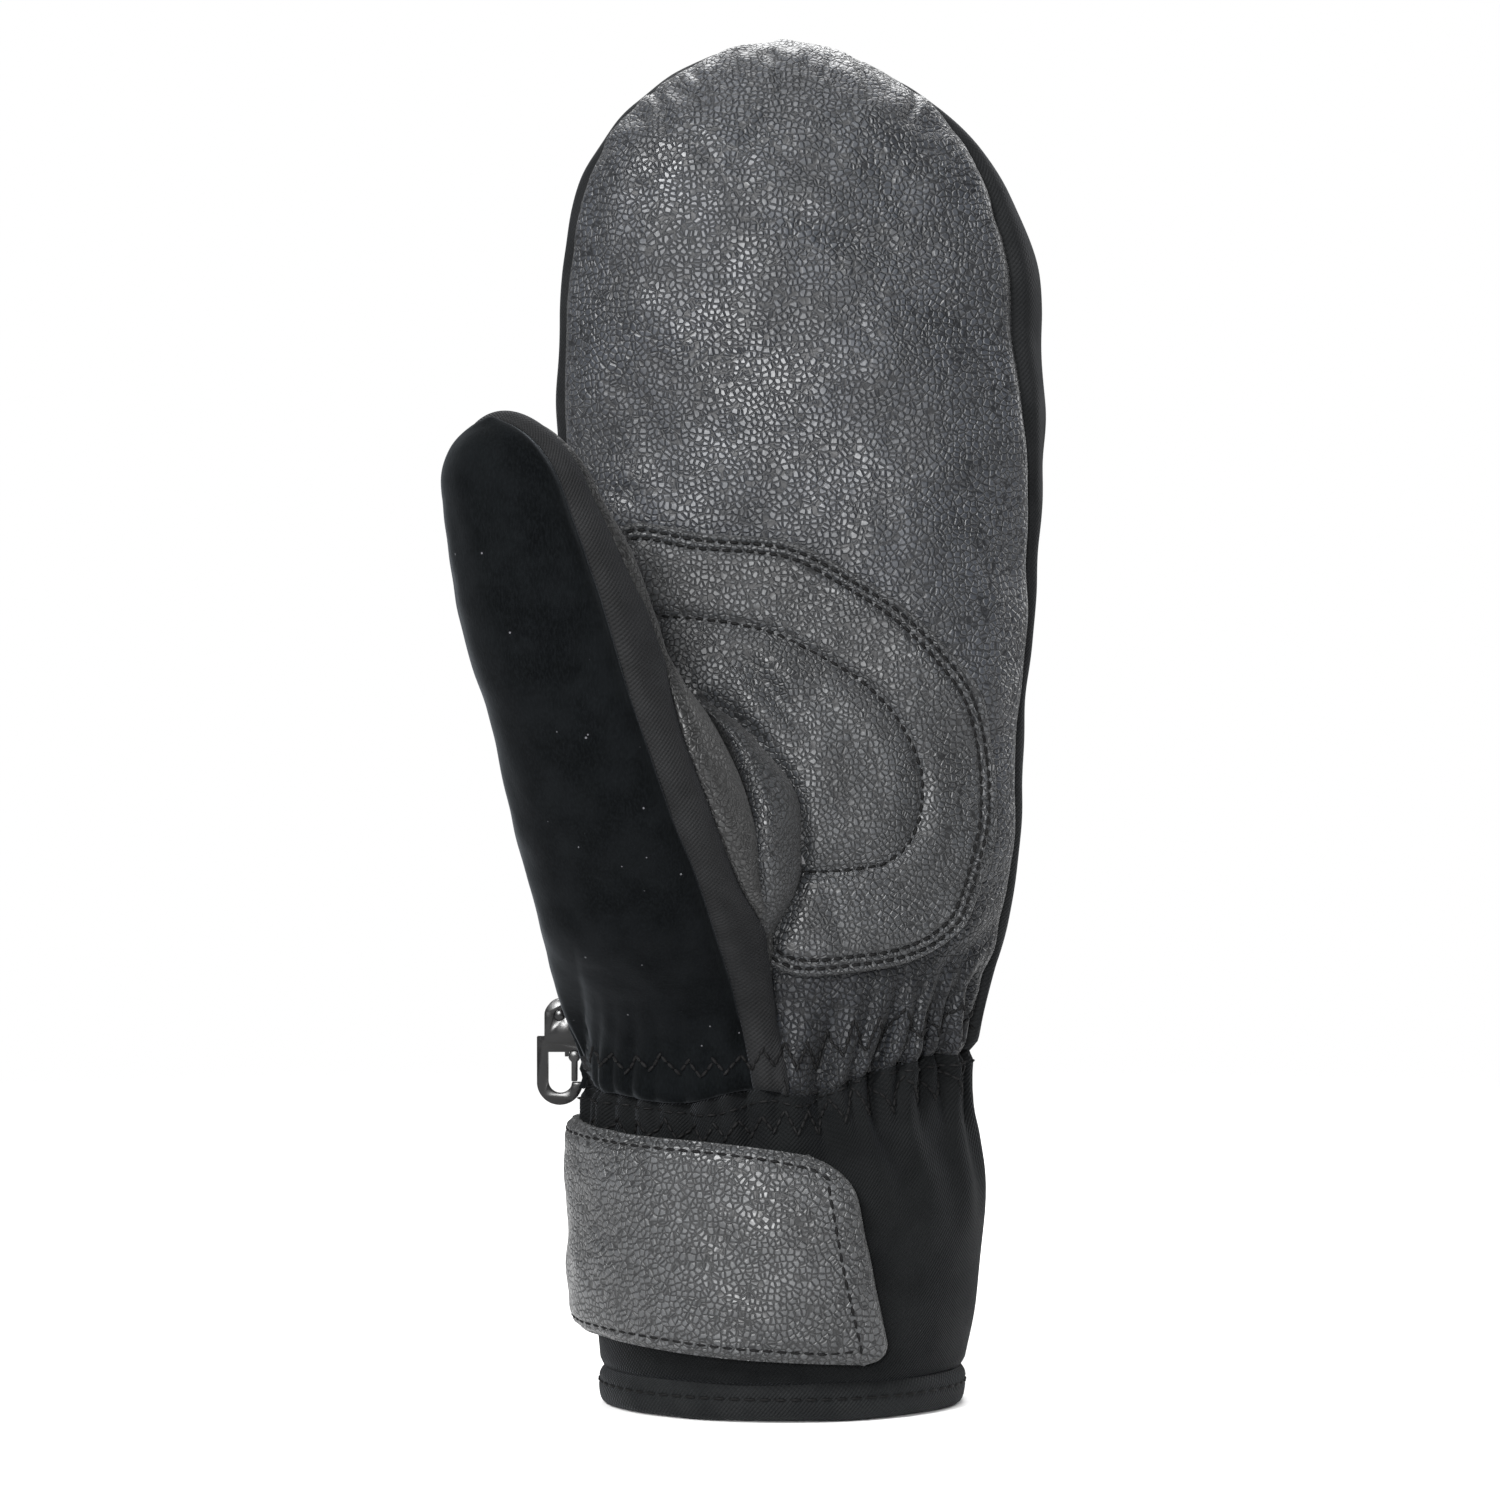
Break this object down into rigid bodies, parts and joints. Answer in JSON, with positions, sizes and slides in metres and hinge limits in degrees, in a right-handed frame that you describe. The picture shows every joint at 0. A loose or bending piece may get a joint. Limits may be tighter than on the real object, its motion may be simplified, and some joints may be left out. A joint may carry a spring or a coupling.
{
  "type": "ski mitten",
  "caption": "Left-hand insulated ski mitten with leather palm, softshell back, suede thumb panel, wrist strap and clip, folding at knuckles and thumb.",
  "frame": {"origin": "centre of the cuff's opening, on the plane of its bottom rim", "axes": "+Z from the cuff to the fingertips, -Y out of the palm, -X towards the thumb"},
  "size_m": [0.1172, 0.0888, 0.271],
  "materials": {
    "palm_leather": "pebbled, satin",
    "patch_leather": "pebbled, satin",
    "thumb_leather": "pebbled, satin",
    "strap_leather": "pebbled, satin",
    "suede": "brushed nap, matte",
    "softshell": "woven, matte",
    "cuff_softshell": "twill, matte",
    "membrane": "film",
    "insulation": "lofted fibre",
    "liner": "brushed fleece",
    "foam": "foam",
    "elastic": "woven elastic",
    "label": "satin, blank",
    "webbing": "woven tape",
    "hook_and_loop": "hook and loop",
    "clip_plastic": "moulded, satin"
  },
  "bodies": {
    "hand": {"palm_leather": "palm_leather", "back_softshell": "softshell", "palm_patch": "patch_leather", "palm_pad": "foam", "membrane_hand": "membrane", "insulation_palm": "insulation", "insulation_back": "insulation", "liner_hand": "liner", "thumb_gusset": "patch_leather", "thumb_strip_base": "softshell", "thumb_panel_base": "suede", "membrane_thumb_base": "membrane", "insulation_thumb_base": "insulation", "liner_thumb_base": "liner", "wrist_elastic_upper": "elastic", "wrist_elastic_lower": "elastic", "cuff_shell": "cuff_softshell", "cuff_lining": "liner", "hem_band": "cuff_softshell", "care_label": "label", "strap_base": "strap_leather", "loop_patch": "hook_and_loop", "clip_webbing": "webbing"},
    "fingers": {"palm_leather_fingers": "palm_leather", "back_softshell_fingers": "softshell", "membrane_fingers": "membrane", "insulation_palm_fingers": "insulation", "insulation_back_fingers": "insulation", "liner_fingers": "liner"},
    "thumb": {"thumb_leather": "thumb_leather", "thumb_strip": "softshell", "thumb_panel": "suede", "membrane_thumb": "membrane", "insulation_thumb": "insulation", "liner_thumb": "liner"},
    "strap": {"strap_tab": "strap_leather", "hook_tape": "hook_and_loop"},
    "clip": {"clip_pin": "clip_plastic", "clip_hook": "clip_plastic"},
    "gate": {"clip_gate": "clip_plastic"}
  },
  "joints": [
    {"name": "knuckle_fold", "type": "hinge", "parent": "hand", "child": "fingers", "pos_m": [0.0035, -0.004, 0.182], "axis": [1, 0, 0], "range_deg": [0, 40]},
    {"name": "thumb_swing", "type": "hinge", "parent": "hand", "child": "thumb", "pos_m": [-0.0388, -0.0426, 0.143], "axis": [0, 0.9874, 0.1581], "range_deg": [-10, 25]},
    {"name": "strap_open", "type": "hinge", "parent": "hand", "child": "strap", "pos_m": [-0.0415, 0.002, 0.036], "axis": [0, 0, -1], "range_deg": [0, 140]},
    {"name": "clip_hang", "type": "hinge", "parent": "hand", "child": "clip", "pos_m": [-0.0445, 0.003, 0.077], "axis": [0, 1, 0], "range_deg": [0, 100]},
    {"name": "gate_press", "type": "hinge", "parent": "clip", "child": "gate", "pos_m": [-0.0416, 0.003, 0.0686], "axis": [0, 1, 0], "range_deg": [0, 30], "stiffness_Nm_per_rad": 0.004}
  ]
}
